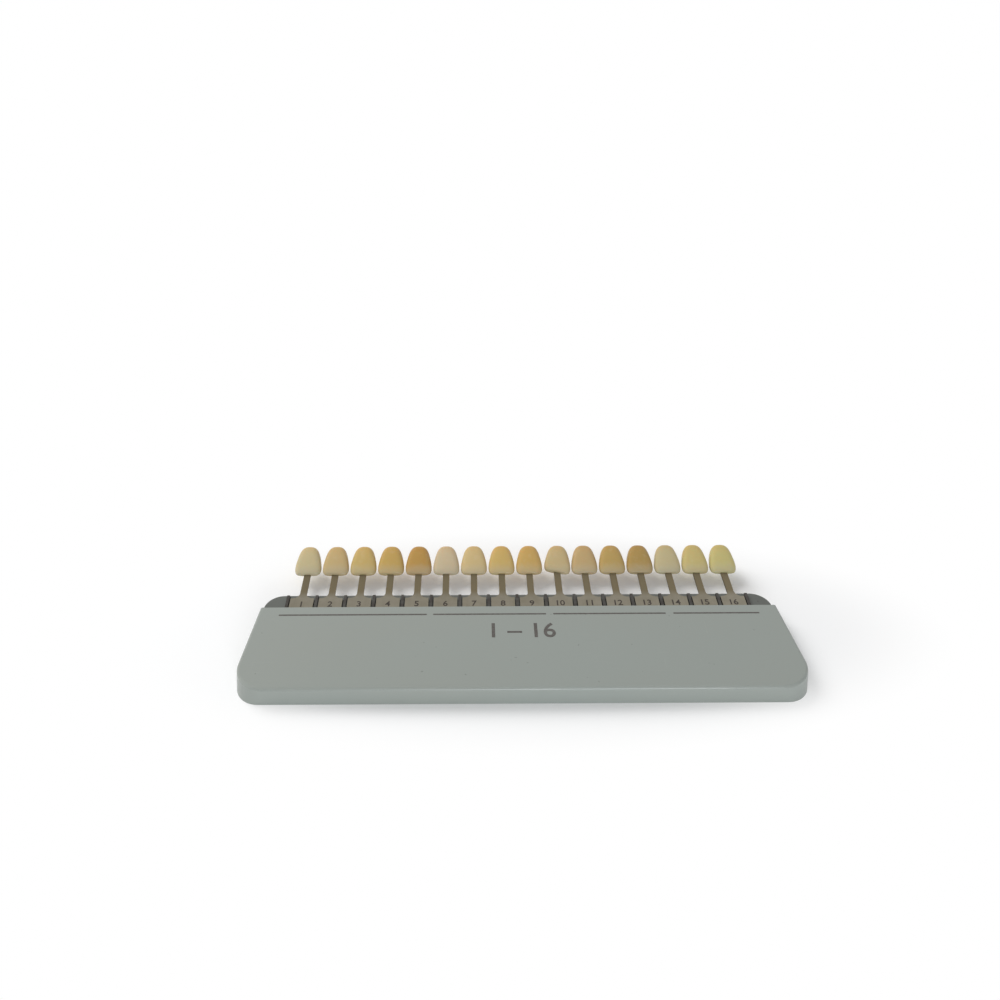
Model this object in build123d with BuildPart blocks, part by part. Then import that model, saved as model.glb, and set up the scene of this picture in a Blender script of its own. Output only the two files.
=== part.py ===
from build123d import *
import os

# Dental shade guide: a flat two-shell holder that grips a row of sample tabs by their tags.
# Millimetres. X runs along the holder, Y points out of its mouth towards the teeth, and Z is up.
# The origin is the middle of the whole guide's footprint, on the surface that it lies on.

# Tabs
tab_count = 16
tab_pitch = 10.0
tab_gap = 1.8
tag_thickness = 0.8
tag_inserted = 20.0
tag_exposed = 6.2
tag_end_radius = 1.2
shoulder_flat = 0.45
neck_width = 2.3
pin_depth = 7.5

# Teeth: heights are measured from the top face of the tag
tooth_gap_to_mouth = 18.2
tooth_length = 11.0
tooth_gap = 0.5
tooth_depth = 6.3
tooth_back_below_tag = 1.5
tooth_waist = 0.45
turned_tooth = 10
turned_tooth_angle = -3.5

# Holder: its sides draw together towards the mouth, and its rim flares a little at the table
end_margin = 8.3
side_spread = 3.6
front_zone = 16.2
holder_height = 6.9
cover_wall = 1.6
cover_corner_radius = 10.6
cover_edge_radius = 1.0
rim_flare = 0.25
rim_corner_radius = 8.0
ledge_reach = 8.6
ledge_corner_radius = 6.5
ledge_edge_radius = 0.5
shell_clearance = 0.15
shell_floor = 1.4
shell_wall = 1.6

# Guides for the tags
tag_clearance = 0.1
tag_side_clearance = 0.4
rib_end_margin = 0.9
stop_wall = 1.2
stop_clearance = 0.4
notch_width = 1.5
notch_length = 1.3
mouth_land = 4.5

# Spring comb
spring_thickness = 0.35
spine_width = 5.0
spine_overhang = 3.0
tongue_width = 5.2
tongue_root = 1.0
tongue_nose = 1.8
tongue_tip = 1.4
tongue_tip_drop = 0.9
tongue_bend_radius = 1.2
spring_clearance = 0.15
peg_diameter = 2.0
peg_height = 0.9
peg_count = 4
peg_clearance = 0.1

# Screws and their bosses
screw_count = 4
screw_setback = 6.4
screw_shank = 1.8
screw_head = 4.0
screw_head_height = 0.9
screw_clearance = 0.1
head_edge_chamfer = 0.3
head_recess = 0.3
boss_diameter = 4.8
pad_diameter = 7.0
pad_height = 1.1
pilot_roof = 1.1
pilot_tip_clearance = 0.3
stiffener_width = 1.2
stiffener_height = 2.0

# Sizes and places worked out from the ones above
tag_width = tab_pitch - tab_gap
tooth_width = tab_pitch - tooth_gap
rib_width = tab_gap - 2 * tag_side_clearance
row_width = tab_count * tab_pitch
screw_pitch = (row_width - tab_pitch) / (screw_count - 1)
half_mouth = row_width / 2 + end_margin
cover_length = front_zone + tag_inserted
tooth_reach = tooth_gap_to_mouth + tooth_length
front_y = -(cover_length + tooth_reach) / 2
mouth_y = front_y + cover_length
ledge_end_y = mouth_y + ledge_reach
cover_inside_z = holder_height - cover_wall
tag_top_z = cover_inside_z - tag_clearance
tag_bottom_z = tag_top_z - tag_thickness
deck_z = tag_bottom_z - tag_clearance
tag_end_y = mouth_y - tag_inserted
stop_y = tag_end_y - stop_clearance
hollow_end_y = stop_y - stop_wall
tooth_start_y = mouth_y + tooth_gap_to_mouth
side_slope = side_spread / cover_length
side_skew = (1 + side_slope**2) ** 0.5
cavity_front_y = front_y + rim_flare + cover_wall
cavity_corner_radius = cover_corner_radius - cover_wall
shell_inset = cover_wall + shell_clearance
shell_front_y = cavity_front_y + shell_clearance
shell_corner_radius = cavity_corner_radius - shell_clearance
hollow_front_y = shell_front_y + shell_wall
trough_end_y = mouth_y - mouth_land
spine_start_y = tag_end_y + spring_clearance
spine_end_y = spine_start_y + spine_width
rib_start_y = spine_end_y + spring_clearance
rib_end_y = ledge_end_y - rib_end_margin
screw_y = front_y + screw_setback
boss_bottom_z = shell_floor + pad_height
head_seat_z = head_recess + screw_head_height
pilot_top_z = holder_height - pilot_roof
screw_tip_z = pilot_top_z - pilot_tip_clearance
tab_places = [(i - (tab_count - 1) / 2) * tab_pitch for i in range(tab_count)]
screw_places = [(i - (screw_count - 1) / 2) * screw_pitch for i in range(screw_count)]


def write_piece(piece, name):
    """Labels a finished piece and writes its file."""
    piece.label = name
    export_step(piece, f"parts/{name}.step")


def tapered_outline(inset, y_front, y_back, radius, rounded_end=0):
    """Draws a plan outline between the holder's slightly tapered sides, each moved in by the
    inset. The two corners at the rounded end, 0 for the front or -1 for the back, get the radius."""
    half_front, half_back = [
        half_mouth + (mouth_y - y) * side_slope - inset * side_skew
        for y in (y_front, y_back)
    ]
    with BuildSketch(mode=Mode.PRIVATE) as outline:
        with BuildLine():
            Polyline(
                (-half_front, y_front),
                (half_front, y_front),
                (half_back, y_back),
                (-half_back, y_back),
                close=True,
            )
        make_face()
        fillet(outline.vertices().group_by(Axis.Y)[rounded_end], radius)
    return outline.sketch


os.makedirs("parts", exist_ok=True)

# Front cover: a light grey moulded cap, open underneath and along the mouth.
# Its rim flares down to the table, and its bosses take the screws.
with BuildPart() as front_cover:
    with BuildSketch():
        add(tapered_outline(-rim_flare, front_y, mouth_y, rim_corner_radius))
    with BuildSketch(Plane.XY.offset(holder_height)):
        add(tapered_outline(0, front_y + rim_flare, mouth_y, cover_corner_radius))
    loft(ruled=True)
    top_edges = front_cover.edges().group_by(Axis.Z)[-1]
    fillet(top_edges - top_edges.group_by(Axis.Y)[-1], cover_edge_radius)
    with BuildSketch():
        add(tapered_outline(cover_wall, cavity_front_y, mouth_y, cavity_corner_radius))
    extrude(amount=cover_inside_z, mode=Mode.SUBTRACT)
    with BuildSketch(Plane.XY.offset(boss_bottom_z)):
        with Locations([(x, screw_y) for x in screw_places]):
            Circle(boss_diameter / 2)
    extrude(amount=cover_inside_z - boss_bottom_z)
    with BuildSketch(Plane.XY.offset(boss_bottom_z)):
        with Locations([(x, screw_y) for x in screw_places]):
            Circle((screw_shank + screw_clearance) / 2)
    extrude(amount=pilot_top_z - boss_bottom_z, mode=Mode.SUBTRACT)
write_piece(front_cover.part, "front_cover")

# Back shell: a dark grey tray inside the cover. Beyond the mouth it widens to the cover's width
# and carries the tags on a ledge, between ribs that keep them a pitch apart.
with BuildPart() as back_shell:
    with BuildSketch():
        add(tapered_outline(shell_inset, shell_front_y, mouth_y, shell_corner_radius))
    extrude(amount=cover_inside_z)
    with BuildSketch():
        add(tapered_outline(0, mouth_y, ledge_end_y, ledge_corner_radius, rounded_end=-1))
    extrude(amount=deck_z)
    deck_edges = back_shell.edges().filter_by_position(Axis.Z, deck_z, deck_z)
    fillet(deck_edges - deck_edges.group_by(Axis.Y)[0], ledge_edge_radius)
    # The front hollow, in front of the wall that stops the tags
    with BuildSketch(Plane.XY.offset(shell_floor)):
        add(
            tapered_outline(
                shell_inset + shell_wall,
                hollow_front_y,
                hollow_end_y,
                shell_corner_radius - shell_wall,
            )
        )
    extrude(amount=cover_inside_z - shell_floor, mode=Mode.SUBTRACT)
    # The bed of the tags, then the trough of the spring comb below it
    with BuildSketch(Plane.XY.offset(deck_z)):
        with Locations((0, (stop_y + mouth_y) / 2)):
            Rectangle(row_width - rib_width, mouth_y - stop_y)
    extrude(amount=cover_inside_z - deck_z, mode=Mode.SUBTRACT)
    with BuildSketch(Plane.XY.offset(shell_floor)):
        with Locations((0, (tag_end_y + trough_end_y) / 2)):
            Rectangle(row_width - rib_width, trough_end_y - tag_end_y)
    extrude(amount=cover_inside_z - shell_floor, mode=Mode.SUBTRACT)
    # The ribs between the tags
    with BuildSketch(Plane.XY.offset(shell_floor)):
        with Locations((0, (rib_start_y + mouth_y) / 2)):
            with GridLocations(tab_pitch, 0, tab_count - 1, 1):
                Rectangle(rib_width, mouth_y - rib_start_y)
    extrude(amount=cover_inside_z - shell_floor)
    with BuildSketch(Plane.XY.offset(deck_z)):
        with Locations((0, (mouth_y + rib_end_y) / 2)):
            with GridLocations(tab_pitch, 0, tab_count + 1, 1):
                Rectangle(rib_width, rib_end_y - mouth_y)
    extrude(amount=tag_top_z - deck_z)
    # A lead-in notch outside the first and last ribs
    with BuildSketch(Plane.XY.offset(deck_z)):
        with Locations((0, mouth_y + notch_length / 2)):
            with GridLocations(row_width + rib_width + notch_width, 0, 2, 1):
                Rectangle(notch_width, notch_length)
    extrude(amount=-tag_thickness, mode=Mode.SUBTRACT)
    # Pegs that locate the spring comb, pads under the bosses, and stiffeners between them
    with BuildSketch(Plane.XY.offset(shell_floor)):
        with Locations((0, (spine_start_y + spine_end_y) / 2)):
            with GridLocations(row_width / peg_count, 0, peg_count, 1):
                Circle(peg_diameter / 2)
    extrude(amount=peg_height)
    with BuildSketch(Plane.XY.offset(shell_floor)):
        with Locations([(x, screw_y) for x in screw_places]):
            Circle(pad_diameter / 2)
    extrude(amount=pad_height)
    with BuildSketch(Plane.XY.offset(shell_floor)):
        with Locations((0, (hollow_front_y + hollow_end_y) / 2)):
            with GridLocations(screw_pitch, 0, screw_count - 1, 1):
                Rectangle(stiffener_width, hollow_end_y - hollow_front_y)
    extrude(amount=stiffener_height)
    # Screw holes, counterbored from underneath
    with BuildSketch():
        with Locations([(x, screw_y) for x in screw_places]):
            Circle(screw_head / 2 + screw_clearance)
    extrude(amount=head_seat_z, mode=Mode.SUBTRACT)
    with BuildSketch():
        with Locations([(x, screw_y) for x in screw_places]):
            Circle(screw_shank / 2 + screw_clearance)
    extrude(amount=boss_bottom_z, mode=Mode.SUBTRACT)
write_piece(back_shell.part, "back_shell")

# Spring comb: one strip of spring steel, slit into a tongue for each tag. Every tongue rises
# from the spine, runs flat just under its tag, and ends in a tip that is turned down.
tip_end_y = trough_end_y - spring_clearance - tongue_tip_drop
nose_end_y = tip_end_y - tongue_tip
spine_middle_z = shell_floor + spring_thickness / 2
nose_middle_z = tag_bottom_z - spring_clearance - spring_thickness / 2
with BuildPart() as spring_comb:
    with BuildSketch(Plane.XY.offset(shell_floor)):
        with Locations((0, (spine_start_y + spine_end_y) / 2)):
            Rectangle(row_width - rib_width - spine_overhang, spine_width)
            with GridLocations(row_width / peg_count, 0, peg_count, 1):
                Circle(peg_diameter / 2 + peg_clearance, mode=Mode.SUBTRACT)
    extrude(amount=spring_thickness)
    for tab_x in tab_places:
        with BuildSketch(Plane.YZ.offset(tab_x - tongue_width / 2)):
            with BuildLine():
                FilletPolyline(
                    (spine_end_y - spring_thickness, spine_middle_z),
                    (spine_end_y + tongue_root, spine_middle_z),
                    (nose_end_y - tongue_nose, nose_middle_z),
                    (nose_end_y, nose_middle_z),
                    (tip_end_y, nose_middle_z - tongue_tip_drop),
                    radius=tongue_bend_radius,
                )
            trace(line_width=spring_thickness)
        extrude(amount=tongue_width)
write_piece(spring_comb.part, "spring_comb")

# Cover screws: four pan-head screws, entered from underneath, joined in one file.
with BuildPart() as cover_screws:
    with BuildSketch(Plane.XY.offset(head_seat_z)):
        with Locations([(x, screw_y) for x in screw_places]):
            Circle(screw_shank / 2)
    extrude(amount=screw_tip_z - head_seat_z)
    with BuildSketch(Plane.XY.offset(head_recess)):
        with Locations([(x, screw_y) for x in screw_places]):
            Circle(screw_head / 2)
    extrude(amount=screw_head_height)
    head_edges = cover_screws.edges().filter_by_position(Axis.Z, head_recess, head_recess)
    chamfer(head_edges, head_edge_chamfer)
write_piece(cover_screws.part, "cover_screws")

# Tab stem: one stamping of nickel silver, with a wide tag that the holder grips,
# shoulders that sweep into a narrow neck, and a pin that is bonded into the tooth.
half_tag = tag_width / 2
half_neck = neck_width / 2
shoulder_radius = half_tag - half_neck - shoulder_flat
shoulder_y = mouth_y + tag_exposed
with BuildPart() as stem_form:
    with BuildSketch(Plane.XY.offset(tag_bottom_z)):
        with BuildLine():
            inner_end = Line((0, tag_end_y), (half_tag - tag_end_radius, tag_end_y))
            corner = RadiusArc(inner_end @ 1, (half_tag, tag_end_y + tag_end_radius), -tag_end_radius)
            side = Line(corner @ 1, (half_tag, shoulder_y))
            shoulder = Line(side @ 1, (half_tag - shoulder_flat, shoulder_y))
            sweep_end = (half_neck, shoulder_y + shoulder_radius)
            sweep_arc = RadiusArc(shoulder @ 1, sweep_end, shoulder_radius)
            neck_side = Line(sweep_arc @ 1, (half_neck, tooth_start_y + pin_depth))
            Line(neck_side @ 1, (0, tooth_start_y + pin_depth))
            mirror(about=Plane.YZ)
        make_face()
    extrude(amount=tag_thickness)

# Tooth: a glazed porcelain incisor with its biting edge towards the holder. It is lofted
# through cross-sections that widen, thicken and then close to the rounded neck end.
# Each station holds its share of the length and of the width, then the heights of the tooth's
# front and back there, as shares of the depth.
tooth_stations = (
    (0.000, 0.83, 0.330, 0.120),
    (0.110, 0.985, 0.470, 0.015),
    (0.420, 0.920, 0.740, 0.000),
    (0.700, 0.775, 0.930, 0.010),
    (0.920, 0.500, 0.950, 0.110),
    (1.000, 0.180, 0.740, 0.380),
)
tooth_back_z = tag_top_z - tooth_back_below_tag
with BuildPart() as tooth_form:
    for along, wide, front, back in tooth_stations:
        with BuildSketch(Plane.XZ.offset(-(tooth_start_y + along * tooth_length))):
            with BuildLine():
                half_width = wide * tooth_width / 2
                front_z = tooth_back_z + front * tooth_depth
                back_z = tooth_back_z + back * tooth_depth
                waist_z = back_z + tooth_waist * (front_z - back_z)
                Spline(
                    (-half_width, waist_z),
                    (0, front_z),
                    (half_width, waist_z),
                    (0, back_z),
                    periodic=True,
                )
            make_face()
    loft()

for number, tab_x in enumerate(tab_places, start=1):
    turn = turned_tooth_angle if number == turned_tooth else 0
    with BuildPart() as stem:
        with Locations((tab_x, 0, 0)):
            add(stem_form.part)
    with BuildPart() as tooth:
        with Locations(Location((tab_x, tooth_start_y, 0), (0, 0, turn))):
            add(tooth_form.part.moved(Location((0, -tooth_start_y, 0))))
        add(stem.part, mode=Mode.SUBTRACT)
    write_piece(stem.part, f"tab_{number:02d}_stem")
    write_piece(tooth.part, f"tab_{number:02d}_tooth")
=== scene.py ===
from math import pi, radians

import bmesh
import bpy
from mathutils import Matrix, Vector


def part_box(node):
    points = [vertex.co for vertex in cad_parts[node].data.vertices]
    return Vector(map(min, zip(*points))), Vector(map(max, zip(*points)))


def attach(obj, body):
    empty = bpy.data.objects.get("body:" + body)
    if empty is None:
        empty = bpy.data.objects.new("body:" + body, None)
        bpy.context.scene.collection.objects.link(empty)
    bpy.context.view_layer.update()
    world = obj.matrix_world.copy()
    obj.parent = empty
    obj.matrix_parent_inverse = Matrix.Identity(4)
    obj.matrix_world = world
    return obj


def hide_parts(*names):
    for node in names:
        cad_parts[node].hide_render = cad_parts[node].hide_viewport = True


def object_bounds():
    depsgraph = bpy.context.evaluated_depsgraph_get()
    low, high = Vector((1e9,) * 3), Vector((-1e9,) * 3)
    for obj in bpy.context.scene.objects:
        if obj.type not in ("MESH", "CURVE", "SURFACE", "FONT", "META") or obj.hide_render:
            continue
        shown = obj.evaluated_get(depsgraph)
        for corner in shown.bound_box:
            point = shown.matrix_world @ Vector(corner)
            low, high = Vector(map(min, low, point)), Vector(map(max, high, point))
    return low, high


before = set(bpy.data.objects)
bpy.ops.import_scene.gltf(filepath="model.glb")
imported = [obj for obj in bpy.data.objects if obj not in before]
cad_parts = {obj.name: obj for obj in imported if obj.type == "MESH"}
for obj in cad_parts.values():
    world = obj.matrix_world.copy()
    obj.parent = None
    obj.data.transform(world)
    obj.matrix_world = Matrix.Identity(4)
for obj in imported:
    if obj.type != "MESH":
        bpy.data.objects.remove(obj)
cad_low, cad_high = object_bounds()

scene = bpy.context.scene
scene.view_settings.view_transform = "Standard"

# The camera stands in front of the holder and looks down on it, as the photograph does.
# Its place and turns come from the holder's edges and the row of teeth there.
MM = 0.001
camera_data = bpy.data.cameras.new("camera")
camera_data.sensor_width = 36.0
camera_data.lens = 31.03
camera_data.shift_x = 0.031
camera_data.clip_start = 0.01
camera = bpy.data.objects.new("camera", camera_data)
scene.collection.objects.link(camera)
camera_place = Vector((-16.08, -207.87, 215.87)) * MM
looking_down, turned_left, leaning = radians(37.632), radians(0.130), radians(-0.404)
camera.matrix_world = (
    Matrix.Translation(camera_place)
    @ Matrix.Rotation(turned_left, 4, "Z")
    @ Matrix.Rotation(pi / 2 - looking_down, 4, "X")
    @ Matrix.Rotation(leaning, 4, "Z")
)
scene.camera = camera

# Table and lamps: a matt white table top, a pale room, one wide soft lamp from the back left
# and a weaker one low in front. Mirrors show the room as white and leave out the first lamp,
# and far from the holder the table fades to pure white.


class Value:
    """An output socket; sums, differences and products of values add Math nodes."""

    def __init__(self, maker, socket):
        self.maker, self.socket = maker, socket

    def math(self, operation, first, second):
        settings = {"operation": operation}
        return self.maker.node("ShaderNodeMath", settings, {0: first, 1: second})

    def __add__(self, other):
        return self.math("ADD", self, other)

    def __sub__(self, other):
        return self.math("SUBTRACT", self, other)

    def __rsub__(self, other):
        return self.math("SUBTRACT", other, self)

    def __mul__(self, other):
        return self.math("MULTIPLY", self, other)

    __radd__, __rmul__ = __add__, __mul__

    def rise(self, start, end):
        """A smooth step from 0 at the start to 1 at the end; the start may be the larger."""
        settings = {"interpolation_type": "SMOOTHSTEP"}
        low, high = min(start, end), max(start, end)
        step = self.maker.node("ShaderNodeMapRange", settings, {0: self, 1: low, 2: high})
        return step if start < end else 1.0 - step


class NodeMaker:
    """Makes and links the nodes of one material, or of the room."""

    def __init__(self, owner):
        owner.use_nodes = True
        self.tree = owner.node_tree

    def plug(self, socket, value):
        if isinstance(value, Value):
            self.tree.links.new(value.socket, socket)
        else:
            socket.default_value = value

    def node(self, kind, settings, sockets, output=0):
        made = self.tree.nodes.new(kind)
        for setting, value in settings.items():
            setattr(made, setting, value)
        for socket, value in sockets.items():
            self.plug(made.inputs[socket], value)
        return Value(self, made.outputs[output])

    def sees_white(self):
        """1 on rays that the camera sees straight, in a mirror or through glass, 0 on others."""
        straight, mirrored, through = [
            self.node("ShaderNodeLightPath", {}, {}, ray)
            for ray in ("Is Camera Ray", "Is Glossy Ray", "Is Transmission Ray")
        ]
        return straight + mirrored + through


class Finish(NodeMaker):
    """One surface finish: a Principled shader and the nodes that vary it over the surface."""

    def __init__(self, name, **constants):
        self.material = bpy.data.materials.new(name)
        super().__init__(self.material)
        self.shader = self.tree.nodes["Principled BSDF"]
        for socket, value in constants.items():
            self.set(socket.replace("_", " ").title().replace("Ior", "IOR"), value)

    def set(self, socket, value):
        self.plug(self.shader.inputs[socket], value)

    def place(self, stretch=(1, 1, 1)):
        """The place on the piece in metres, each axis stretched by its own amount."""
        place = self.node("ShaderNodeTexCoord", {}, {}, "Object")
        settings = {"operation": "MULTIPLY"}
        return self.node("ShaderNodeVectorMath", settings, {0: place, 1: stretch})

    def along(self, axis):
        """The place along one axis, in metres."""
        return self.node("ShaderNodeSeparateXYZ", {}, {0: self.place()}, axis)

    def noise(self, per_metre, stretch=(1, 1, 1), detail=2.0, roughness=0.5):
        sockets = {
            "Vector": self.place(stretch),
            "Scale": per_metre,
            "Detail": detail,
            "Roughness": roughness,
        }
        return self.node("ShaderNodeTexNoise", {}, sockets, "Fac")

    def blend(self, share, first, second):
        """The first colour, with the given share of the second."""
        first, second = [c if isinstance(c, Value) else (*c, 1.0) for c in (first, second)]
        settings = {"data_type": "RGBA", "clamp_factor": True}
        return self.node("ShaderNodeMix", settings, {0: share, 6: first, 7: second}, 2)

    def bump(self, height, depth, strength):
        sockets = {"Height": height, "Distance": depth, "Strength": strength}
        return self.node("ShaderNodeBump", {}, sockets)


table_half = 4.0
# A hair past the holder's underside: two faces in one plane would show stripes from below
table_rise = 0.01 * MM
table_grey = 0.97
table_glow_near = 0.13
object_half_length, object_half_depth = cad_high.x, cad_high.y
fade_start, fade_end = 1.05 * object_half_depth, 1.65 * object_half_depth
table_shape = bmesh.new()
bmesh.ops.create_grid(table_shape, x_segments=1, y_segments=1, size=table_half)
bmesh.ops.translate(table_shape, verts=table_shape.verts, vec=(0, 0, table_rise))
table_mesh = bpy.data.meshes.new("table")
table_shape.to_mesh(table_mesh)
table_shape.free()
table = bpy.data.objects.new("table", table_mesh)
scene.collection.objects.link(table)
table_colour = (table_grey, table_grey, table_grey, 1.0)
table_white = Finish("table_white", base_color=table_colour, roughness=0.7)
table_place = table_white.place((object_half_depth / object_half_length, 1, 1))
from_holder = table_white.node(
    "ShaderNodeVectorMath", {"operation": "LENGTH"}, {0: table_place}, "Value"
)
fading = from_holder.rise(fade_start, fade_end)
glow_share = table_white.sees_white() * (table_glow_near + (1.0 - table_glow_near) * fading)
glow = table_white.node("ShaderNodeEmission", {}, {"Color": (1, 1, 1, 1), "Strength": 1.0})
painted = Value(table_white, table_white.shader.outputs[0])
surface = table_white.node("ShaderNodeMixShader", {}, {0: glow_share, 1: painted, 2: glow})
table_white.plug(table_white.tree.nodes["Material Output"].inputs["Surface"], surface)
table_mesh.materials.append(table_white.material)

room_strength = 0.39
room = bpy.data.worlds.new("room")
scene.world = room
room_nodes = NodeMaker(room)
room_light, white_wall = [
    room_nodes.node("ShaderNodeBackground", {}, {"Color": (1, 1, 1, 1), "Strength": strength})
    for strength in (room_strength, 1.0)
]
room_seen = room_nodes.node(
    "ShaderNodeMixShader", {}, {0: room_nodes.sees_white(), 1: room_light, 2: white_wall}
)
room_nodes.plug(room_nodes.tree.nodes["World Output"].inputs["Surface"], room_seen)
for lamp_name, lamp_place, lamp_size, lamp_power, lamp_colour, mirrored in (
    ("back_left", Vector((-0.69, 0.58, 0.80)), 0.75, 11.8, (1.0, 1.0, 1.0), False),
    ("camera_side", Vector((0.15, -1.00, 0.17)), 0.50, 5.8, (0.94, 1.0, 1.05), True),
):
    lamp_data = bpy.data.lights.new(lamp_name, "AREA")
    lamp_data.size = lamp_size
    lamp_data.energy = lamp_power
    lamp_data.color = lamp_colour
    lamp = bpy.data.objects.new(lamp_name, lamp_data)
    scene.collection.objects.link(lamp)
    lamp.visible_glossy = mirrored
    lamp.location = lamp_place
    lamp.rotation_euler = lamp_place.to_track_quat("Z", "Y").to_euler()

# Front cover: an injection-moulded shell of light grey plastic, spark-eroded to a satin skin
# in the mould and screwed over the back shell. Handling has polished its top edges, and a
# pale band along them is painted highlight as well as wear.
panel_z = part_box("front_cover")[1].z
mouth_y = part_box("front_cover")[1].y
cover_grey, cover_cool_grey = (0.290, 0.303, 0.274), (0.285, 0.316, 0.296)
# The band of polish and painted highlight, by how far below the panel its foot and its top fade in
band_foot_start, band_foot_end = 1.15 * MM, 0.70 * MM
band_top_start, band_top_end = 0.03 * MM, 0.30 * MM


def moulded(name, colour, cool_colour, roughness):
    """A satin moulded finish: fine grain, faint flow shades, hairline scuffs and dust specks."""
    finish = Finish(name, specular_ior_level=0.35)
    flow = finish.noise(26.0, stretch=(0.4, 1.0, 1.0), detail=3.0)
    grain = finish.noise(2600.0, detail=3.0, roughness=0.65)
    hairlines = finish.noise(1400.0, stretch=(1.0, 0.05, 0.4), detail=4.0).rise(0.66, 0.76)
    cross_lines = finish.noise(1700.0, stretch=(0.04, 1.0, 0.4), detail=4.0).rise(0.68, 0.78)
    rubbed = finish.noise(55.0, detail=2.0).rise(0.48, 0.66)
    scuffs = (hairlines + cross_lines) * rubbed
    specks = finish.noise(520.0, detail=1.0).rise(0.775, 0.80)
    height = finish.along("Z")
    band_foot = height.rise(panel_z - band_foot_start, panel_z - band_foot_end)
    band_top = height.rise(panel_z - band_top_start, panel_z - band_top_end)
    # Polish from handling and a painted highlight: a paler, smoother band along the top edges
    edge_wear_and_highlight = band_foot * band_top * (0.35 + 0.65 * rubbed)
    # Paler for scuffs and the painted highlight, darker for specks
    scuff_and_highlight_pale, dark = [tuple(k * c for c in colour) for k in (1.22, 0.55)]
    shade = finish.blend(flow, colour, cool_colour)
    shade = finish.blend(scuffs * 0.35 + edge_wear_and_highlight * 0.3, shade, scuff_and_highlight_pale)
    finish.set("Base Color", finish.blend(specks * 0.5, shade, dark))
    finish.set("Roughness", roughness + (flow - 0.5) * 0.12 + (grain - 0.5) * 0.1 - edge_wear_and_highlight * 0.12)
    finish.set("Normal", finish.bump(grain - scuffs * 0.6, 0.018 * MM, 0.5))
    return finish


def dress(node, finish):
    """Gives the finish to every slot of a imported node's object."""
    for mesh_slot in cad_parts[node].material_slots:
        mesh_slot.material = finish.material


dress("front_cover", moulded("cover_plastic", cover_grey, cover_cool_grey, 0.32))

# Print on the cover: dark grey pad-printing ink on the flat panel. A line lies over each group
# of tabs, 5, 4, 4 and 3 of them, and a plain number range stands below the lines.
ink_thickness = 0.03 * MM
line_from_mouth = 3.7 * MM
line_width = 0.6 * MM
line_corner = 0.35 * line_width
line_ends = ((-81.3, -31.1), (-29.0, 9.3), (11.7, 49.8), (52.4, 81.5))
tab_total = 16
range_height, range_boldness = 6.6 * MM, 0.012
range_x, range_from_mouth = 1.3 * MM, 11.2 * MM
ink = Finish("printing_ink", specular_ior_level=0.4)
ink_wear = ink.noise(1100.0, detail=4.0).rise(0.42, 0.78)
ink.set("Base Color", ink.blend(ink_wear * 0.5, (0.085, 0.076, 0.068), (0.17, 0.165, 0.155)))
ink.set("Roughness", 0.42 + ink_wear * 0.2)
ink.set("Normal", ink.bump(ink.noise(3800.0, detail=3.0), 0.008 * MM, 0.5))


def piece_from(shape, name, body, finish):
    """Turns a finished bmesh into a piece that rides on the body."""
    mesh = bpy.data.meshes.new(name)
    shape.to_mesh(mesh)
    shape.free()
    mesh.materials.append(finish.material)
    piece = bpy.data.objects.new(name, mesh)
    scene.collection.objects.link(piece)
    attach(piece, body)
    return piece


def lettering(text, height, thickness, boldness):
    """A bmesh of solid letters that lie flat, centred on the origin.

    The boldness widens their strokes, as a share of the font's size.
    """
    weld_distance = 0.0005
    font_curve = bpy.data.curves.new("lettering", "FONT")
    font_curve.body = text
    font_curve.resolution_u = 4
    font_curve.extrude = 0.5
    font_curve.offset = boldness
    writing = bpy.data.objects.new("lettering", font_curve)
    scene.collection.objects.link(writing)
    bpy.context.view_layer.update()
    flat_mesh = bpy.data.meshes.new_from_object(writing)
    bpy.data.objects.remove(writing)
    letters = bmesh.new()
    letters.from_mesh(flat_mesh)
    bpy.data.meshes.remove(flat_mesh)
    bmesh.ops.remove_doubles(letters, verts=letters.verts, dist=weld_distance)
    bmesh.ops.recalc_face_normals(letters, faces=letters.faces)
    low, high = [
        Vector([extreme(v.co[i] for v in letters.verts) for i in range(3)])
        for extreme in (min, max)
    ]
    bmesh.ops.translate(letters, verts=letters.verts, vec=-(low + high) / 2)
    size = height / (high.y - low.y)
    bmesh.ops.scale(letters, verts=letters.verts, vec=(size, size, thickness / (high.z - low.z)))
    return letters


for group, (left, right) in enumerate(line_ends, start=1):
    left, right = left * MM, right * MM
    line = bmesh.new()
    bmesh.ops.create_cube(line, size=1.0)
    bmesh.ops.scale(line, verts=line.verts, vec=(right - left, line_width, ink_thickness))
    upright = [e for e in line.edges if e.verts[0].co.xy == e.verts[1].co.xy]
    bmesh.ops.bevel(
        line,
        geom=upright,
        offset=line_corner,
        segments=4,
        profile=0.5,
        affect="EDGES",
        material=-1,
    )
    line_place = ((left + right) / 2, mouth_y - line_from_mouth, panel_z + ink_thickness / 2)
    bmesh.ops.translate(line, verts=line.verts, vec=line_place)
    piece_from(line, f"group_line_{group}", "holder", ink)

range_place = (range_x, mouth_y - range_from_mouth, panel_z + ink_thickness / 2)
number_range = lettering(f"1 – {tab_total}", range_height, ink_thickness, range_boldness)
bmesh.ops.translate(number_range, verts=number_range.verts, vec=range_place)
piece_from(number_range, "number_range", "holder", ink)
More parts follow.
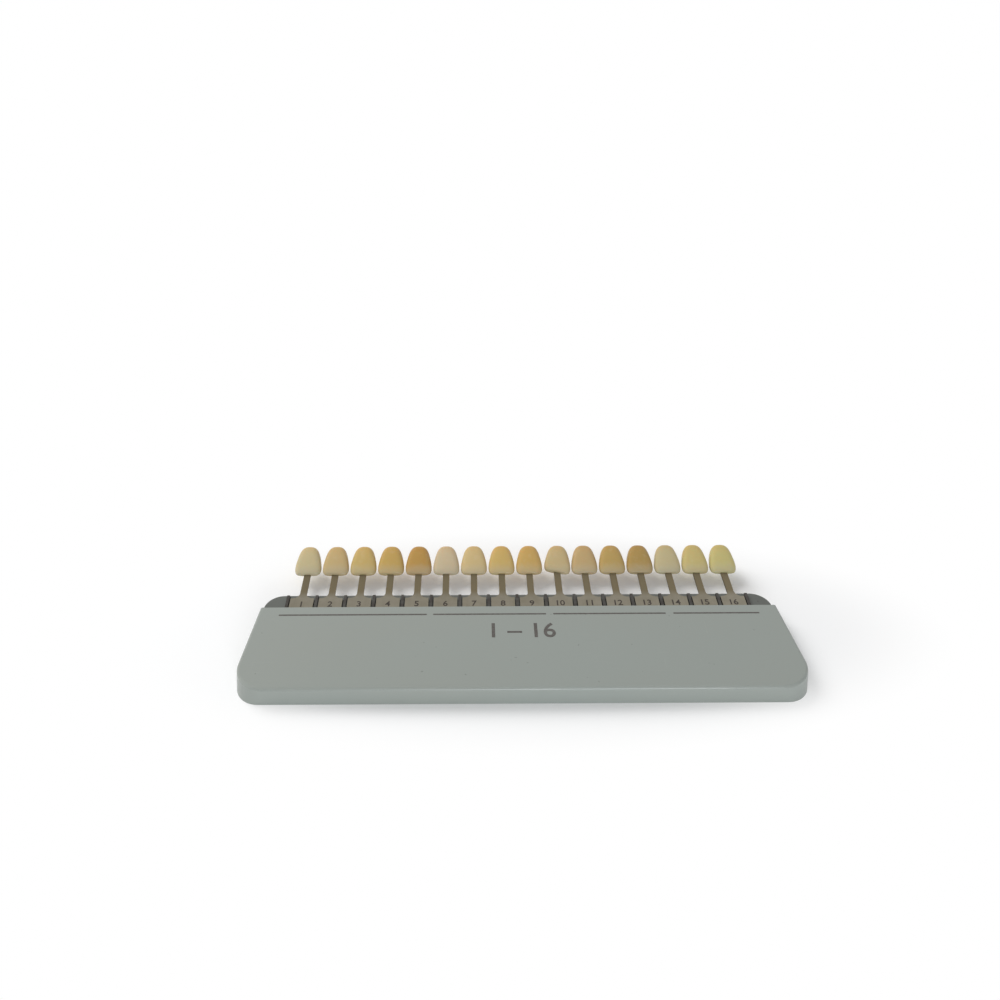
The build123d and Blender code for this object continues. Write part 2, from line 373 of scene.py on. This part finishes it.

# Back shell: the darker grey moulding that carries the tags, with the same satin skin.
# Its ledge shows beyond the cover, and the tops of the ribs between the tags
# are darkened brown with painted shade.
shell_grey, shell_cool_grey = (0.112, 0.116, 0.105), (0.126, 0.135, 0.122)
# Painted shade on the rib tops between the tags: its colour, and the heights and reach where it
# fades in
rib_shade_colour = (0.036, 0.029, 0.024)
rib_shade_low, rib_shade_high = 4.35 * MM, 4.55 * MM
rib_shade_inside_mouth = 1.0 * MM
shell_plastic = moulded("shell_plastic", shell_grey, shell_cool_grey, 0.36)
rib_shade_past_mouth = shell_plastic.along("Y").rise(mouth_y - rib_shade_inside_mouth, mouth_y)
rib_shade_height = shell_plastic.along("Z").rise(rib_shade_low, rib_shade_high)
rib_shade_patches = 0.7 + 0.3 * shell_plastic.noise(420.0, detail=3.0).rise(0.35, 0.65)
# Painted shade, brown and in soft patches, on the rib tops past the mouth
painted_rib_shade = rib_shade_past_mouth * rib_shade_height * rib_shade_patches
unshaded_link = shell_plastic.shader.inputs["Base Color"].links[0]
unshaded_colour = Value(shell_plastic, unshaded_link.from_socket)
shell_plastic.set("Base Color", shell_plastic.blend(painted_rib_shade, unshaded_colour, rib_shade_colour))
dress("back_shell", shell_plastic)

# Spring comb: hard-rolled spring steel strip with fine rolling lines, stamped and bent.
# It lies inside the holder and presses each tag from below.
spring_steel = Finish("spring_steel", metallic=1.0)
rolling = spring_steel.noise(1100.0, stretch=(0.03, 1.0, 1.0), detail=4.0)
spring_steel.set("Base Color", spring_steel.blend(rolling, (0.46, 0.46, 0.46), (0.62, 0.62, 0.61)))
spring_steel.set("Roughness", 0.2 + rolling * 0.22)
spring_steel.set("Normal", spring_steel.bump(rolling, 0.008 * MM, 0.5))
dress("spring_comb", spring_steel)

# Cover screws: four zinc-plated pan-head screws that enter the shells from underneath,
# each pressed with a cross recess for the driver.
screw_low, screw_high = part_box("cover_screws")
screw_count = 4
screw_corners = 32
head_radius = 2.0 * MM
head_height = 0.9 * MM
shank_radius = 0.9 * MM
recess_width, recess_length, recess_depth = 0.5 * MM, 2.0 * MM, 0.55 * MM
sharp_angle = radians(25)
screw_y = (screw_low.y + screw_high.y) / 2
first_screw_x = screw_low.x + head_radius
screw_pitch = -2 * first_screw_x / (screw_count - 1)
screw_places = [Vector((first_screw_x + i * screw_pitch, screw_y, 0)) for i in range(screw_count)]
# Radius and height of each ring, from the shank's end in the shells down to the head's face
screw_profile = (
    (shank_radius, screw_high.z),
    (shank_radius, screw_low.z + head_height),
    (head_radius, screw_low.z + head_height),
    (head_radius, screw_low.z + 0.35 * head_height),
    (0.93 * head_radius, screw_low.z + 0.12 * head_height),
    (0.78 * head_radius, screw_low.z),
)
zinc = Finish("zinc_plate", metallic=1.0)
plating = zinc.noise(1500.0, detail=4.0)
zinc.set("Base Color", zinc.blend(plating, (0.48, 0.48, 0.49), (0.66, 0.66, 0.67)))
zinc.set("Roughness", 0.24 + plating * 0.18)
zinc.set("Normal", zinc.bump(plating, 0.006 * MM, 0.5))


def ring_edges(ring):
    """The edges that join the corners of a ring."""
    corners = set(ring)
    return list({e for v in ring for e in v.link_edges if corners.issuperset(e.verts)})


def grow(shape, ring):
    """Extrudes a ring of corners and gives back the new ring, corner by corner."""
    before = set(shape.verts)
    bmesh.ops.extrude_edge_only(shape, edges=ring_edges(ring))
    return [
        next(e.other_vert(v) for e in v.link_edges if e.other_vert(v) not in before)
        for v in ring
    ]


screws = bmesh.new()
for screw_place in screw_places:
    circle = bmesh.ops.create_circle(screws, cap_ends=True, segments=screw_corners, radius=1.0)
    ring = circle["verts"]
    directions = [v.co.copy() for v in ring]
    for step, (radius, height) in enumerate(screw_profile):
        ring = grow(screws, ring) if step else ring
        for corner, direction in zip(ring, directions):
            corner.co = screw_place + direction * radius + Vector((0, 0, height))
    bmesh.ops.contextual_create(screws, geom=ring_edges(ring))
bmesh.ops.recalc_face_normals(screws, faces=screws.faces)
recesses = bmesh.new()
for screw_place in screw_places:
    for wide, deep in ((recess_length, recess_width), (recess_width, recess_length)):
        arm = bmesh.ops.create_cube(recesses, size=1.0)["verts"]
        bmesh.ops.scale(recesses, verts=arm, vec=(wide, deep, 2 * recess_depth))
        arm_place = screw_place + Vector((0, 0, screw_low.z))
        bmesh.ops.translate(recesses, verts=arm, vec=arm_place)
recess_mesh = bpy.data.meshes.new("recess")
recesses.to_mesh(recess_mesh)
recesses.free()
recess = bpy.data.objects.new("recess", recess_mesh)
scene.collection.objects.link(recess)
screw_piece = piece_from(screws, "pan_head_screws", "holder", zinc)
cut = screw_piece.modifiers.new("cross", "BOOLEAN")
cut.operation = "DIFFERENCE"
cut.object = recess
cut.use_self = True
bpy.context.view_layer.update()
screw_seen = screw_piece.evaluated_get(bpy.context.evaluated_depsgraph_get())
cut_mesh = bpy.data.meshes.new_from_object(screw_seen)
cut_mesh.shade_smooth()
cut_mesh.set_sharp_from_angle(angle=sharp_angle)
screw_piece.modifiers.clear()
screw_piece.data = cut_mesh
bpy.data.objects.remove(recess)
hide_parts("cover_screws")

# Tab stems: stamped from nickel silver sheet and tumbled satin, with faint drawing lines
# along them, and darker and more olive along the necks. Each tag is stamped with a plain
# number, which is filled dark.
tag_face_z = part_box("tab_01_stem")[1].z
neck_tone_start, neck_tone_end = 6.0 * MM, 10.0 * MM
stamp_height, stamp_boldness = 2.6 * MM, 0.02
stamp_thickness = 0.02 * MM
stamp_from_mouth = 3.3 * MM
tab_pitch = 10.0 * MM
first_tab_x = -(tab_total - 1) / 2 * tab_pitch
tabs = [(f"tab_{i + 1:02d}", first_tab_x + i * tab_pitch) for i in range(tab_total)]
nickel_silver = Finish("nickel_silver", metallic=1.0)
drawing = nickel_silver.noise(2100.0, stretch=(1.0, 0.05, 1.0), detail=3.0)
mottle = nickel_silver.noise(380.0, detail=4.0)
stain = nickel_silver.noise(140.0, detail=3.0).rise(0.45, 0.7)
# Darker and more olive from the mouth out along the neck
neck_tone = nickel_silver.along("Y").rise(mouth_y + neck_tone_start, mouth_y + neck_tone_end)
metal_colour = nickel_silver.blend(mottle, (0.215, 0.195, 0.15), (0.30, 0.275, 0.22))
metal_colour = nickel_silver.blend(neck_tone * 0.8, metal_colour, (0.17, 0.135, 0.075))
metal_colour = nickel_silver.blend(stain * 0.3, metal_colour, (0.17, 0.15, 0.10))
nickel_silver.set("Base Color", metal_colour)
nickel_silver.set("Roughness", 0.40 + drawing * 0.14 + mottle * 0.08)
nickel_silver.set("Normal", nickel_silver.bump(drawing + mottle * 0.6, 0.012 * MM, 0.6))
stamp_fill = Finish("stamp_fill", specular_ior_level=0.3)
fill_wear = stamp_fill.noise(1800.0, detail=3.0).rise(0.4, 0.75)
fill_colour = stamp_fill.blend(fill_wear * 0.5, (0.045, 0.037, 0.031), (0.12, 0.10, 0.08))
stamp_fill.set("Base Color", fill_colour)
stamp_fill.set("Roughness", 0.5 + fill_wear * 0.25)
for number, (tab, tab_x) in enumerate(tabs, start=1):
    dress(f"{tab}_stem", nickel_silver)
    stamp = lettering(str(number), stamp_height, stamp_thickness, stamp_boldness)
    stamp_place = (tab_x, mouth_y + stamp_from_mouth, tag_face_z + stamp_thickness / 2)
    bmesh.ops.translate(stamp, verts=stamp.verts, vec=stamp_place)
    piece_from(stamp, f"{tab}_number", tab, stamp_fill)

# Teeth: incisors of layered dental porcelain, fired and glazed, each bonded to its stem's pin.
# The neck end is deeper in colour, the biting edge paler and clearer, and faint growth lines
# and two shallow furrows cross the front.
tooth_low, tooth_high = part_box("tab_01_tooth")
tooth_start, tooth_length = tooth_low.y, tooth_high.y - tooth_low.y
tooth_half_width = (tooth_high.x - tooth_low.x) / 2
tooth_bottom = tooth_low.z
tooth_depth = tooth_high.z - tooth_low.z
turned_tooth, tooth_turn, tooth_slope = 10, radians(-3.5), 0.12
slope_reach = 0.6
# Along, half width, height of the front and of the back, as shares of length, width and depth
tooth_rings = (
    (0.000, 0.70, 0.335, 0.170),
    (0.018, 0.80, 0.385, 0.120),
    (0.070, 0.92, 0.465, 0.060),
    (0.170, 1.00, 0.580, 0.030),
    (0.310, 1.00, 0.705, 0.025),
    (0.450, 0.95, 0.815, 0.025),
    (0.590, 0.89, 0.905, 0.030),
    (0.720, 0.82, 0.965, 0.050),
    (0.830, 0.73, 0.995, 0.095),
    (0.915, 0.61, 0.975, 0.170),
    (0.975, 0.43, 0.900, 0.280),
)
ring_corners = 28
waist_share = 0.42
flatness = 0.72
furrow_depth = 0.10 * MM
furrow_place, furrow_width = 0.36, 0.22
furrow_middle, furrow_reach = 0.30, 0.35
cap_inset = 0.7 * MM
cap_push = (0, 0.025 * tooth_length, -0.02 * tooth_depth)
smoothing_levels = 2


def porcelain_tooth(centre_x, turn, slope):
    """A bmesh of one incisor, its rings grown from the biting edge to the neck end.

    The slope is how far the edge's left corner is drawn back, as a share of the length.
    """
    tooth = bmesh.new()
    circle = bmesh.ops.create_circle(tooth, cap_ends=True, segments=ring_corners, radius=1.0)
    ring = circle["verts"]
    round_section = [v.co.copy() for v in ring]
    for step, (along, wide, front, back) in enumerate(tooth_rings):
        ring = grow(tooth, ring) if step else ring
        waist = back + waist_share * (front - back)
        fade = max(0.0, 1 - abs(along - furrow_middle) / furrow_reach)
        for corner, unit in zip(ring, round_section):
            across = abs(unit.x) ** flatness * (1 if unit.x > 0 else -1)
            if unit.y > 0:
                lift = unit.y**flatness
                furrow = max(0.0, 1 - ((abs(across) - furrow_place) / furrow_width) ** 2)
                height = waist + (front - waist) * lift
                sunk = furrow * lift * fade * furrow_depth
            else:
                height = waist + (waist - back) * unit.y
                sunk = 0.0
            drawn_back = slope * (0.5 - across / 2) * max(0.0, 1 - along / slope_reach)
            corner.co = (
                across * wide * tooth_half_width,
                (along + drawn_back) * tooth_length,
                tooth_bottom + height * tooth_depth - sunk,
            )
    cap = bmesh.ops.contextual_create(tooth, geom=ring_edges(ring))["faces"]
    bmesh.ops.inset_region(tooth, faces=cap, thickness=cap_inset, use_even_offset=True)
    bmesh.ops.translate(tooth, verts=cap[0].verts, vec=cap_push)
    bmesh.ops.recalc_face_normals(tooth, faces=tooth.faces)
    turning = Matrix.Rotation(turn, 3, "Z")
    bmesh.ops.rotate(tooth, verts=tooth.verts, cent=(0, 0, 0), matrix=turning)
    bmesh.ops.translate(tooth, verts=tooth.verts, vec=(centre_x, tooth_start, 0))
    for face in tooth.faces:
        face.smooth = True
    return tooth


shade_colours = (
    (0.52, 0.43, 0.24),
    (0.51, 0.37, 0.17),
    (0.52, 0.37, 0.13),
    (0.49, 0.32, 0.09),
    (0.43, 0.25, 0.06),
    (0.54, 0.43, 0.27),
    (0.56, 0.42, 0.20),
    (0.54, 0.37, 0.12),
    (0.51, 0.33, 0.10),
    (0.50, 0.38, 0.19),
    (0.47, 0.33, 0.15),
    (0.43, 0.29, 0.09),
    (0.37, 0.24, 0.07),
    (0.48, 0.40, 0.22),
    (0.51, 0.41, 0.16),
    (0.50, 0.43, 0.17),
)
neck_tint = (1.04, 0.89, 0.68)
clear_edge, edge_clearness = (0.47, 0.44, 0.34), 0.45
cloud_colour, cloud_drift = (0.62, 0.56, 0.42), 3.0 * MM
# Where the neck's and the biting edge's colours start and are full, as shares of the length
neck_start, neck_full = 0.45, 1.05
edge_start, edge_full = 0.34, 0.02


def fired_porcelain(number, body_colour):
    """The glazed finish of one shade, with clouds at a scale of its own."""
    porcelain = Finish(
        f"porcelain_{number:02d}",
        coat_weight=0.15,
        coat_roughness=0.2,
        subsurface_weight=0.10,
        subsurface_scale=0.0012,
        specular_ior_level=0.35,
    )
    neck_colour = tuple(c * k for c, k in zip(body_colour, neck_tint))
    edge_colour = tuple(
        (1 - edge_clearness) * c + edge_clearness * p for c, p in zip(body_colour, clear_edge)
    )
    length = porcelain.along("Y")
    clouds = porcelain.noise(330.0 + 7.0 * number, detail=3.0)
    growth = porcelain.noise(1300.0, stretch=(0.12, 1.0, 0.3), detail=2.0)
    mark = length + (clouds - 0.5) * cloud_drift
    to_neck, to_edge = [
        mark.rise(tooth_start + start * tooth_length, tooth_start + full * tooth_length)
        for start, full in ((neck_start, neck_full), (edge_start, edge_full))
    ]
    colour = porcelain.blend(to_neck * 0.8, body_colour, neck_colour)
    colour = porcelain.blend(to_edge * 0.8, colour, edge_colour)
    colour = porcelain.blend(clouds.rise(0.52, 0.78) * 0.12, colour, cloud_colour)
    porcelain.set("Base Color", colour)
    porcelain.set("Roughness", 0.34 + (clouds - 0.5) * 0.16)
    porcelain.set("Normal", porcelain.bump(growth + clouds * 0.5, 0.03 * MM, 0.5))
    return porcelain


for number, ((tab, tab_x), body_colour) in enumerate(zip(tabs, shade_colours), start=1):
    turn, slope = (tooth_turn, tooth_slope) if number == turned_tooth else (0.0, 0.0)
    tooth = porcelain_tooth(tab_x, turn, slope)
    porcelain = fired_porcelain(number, body_colour)
    tooth_piece = piece_from(tooth, f"{tab}_porcelain", tab, porcelain)
    smoothing = tooth_piece.modifiers.new("smoothing", "SUBSURF")
    smoothing.levels = smoothing.render_levels = smoothing_levels
    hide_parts(f"{tab}_tooth")
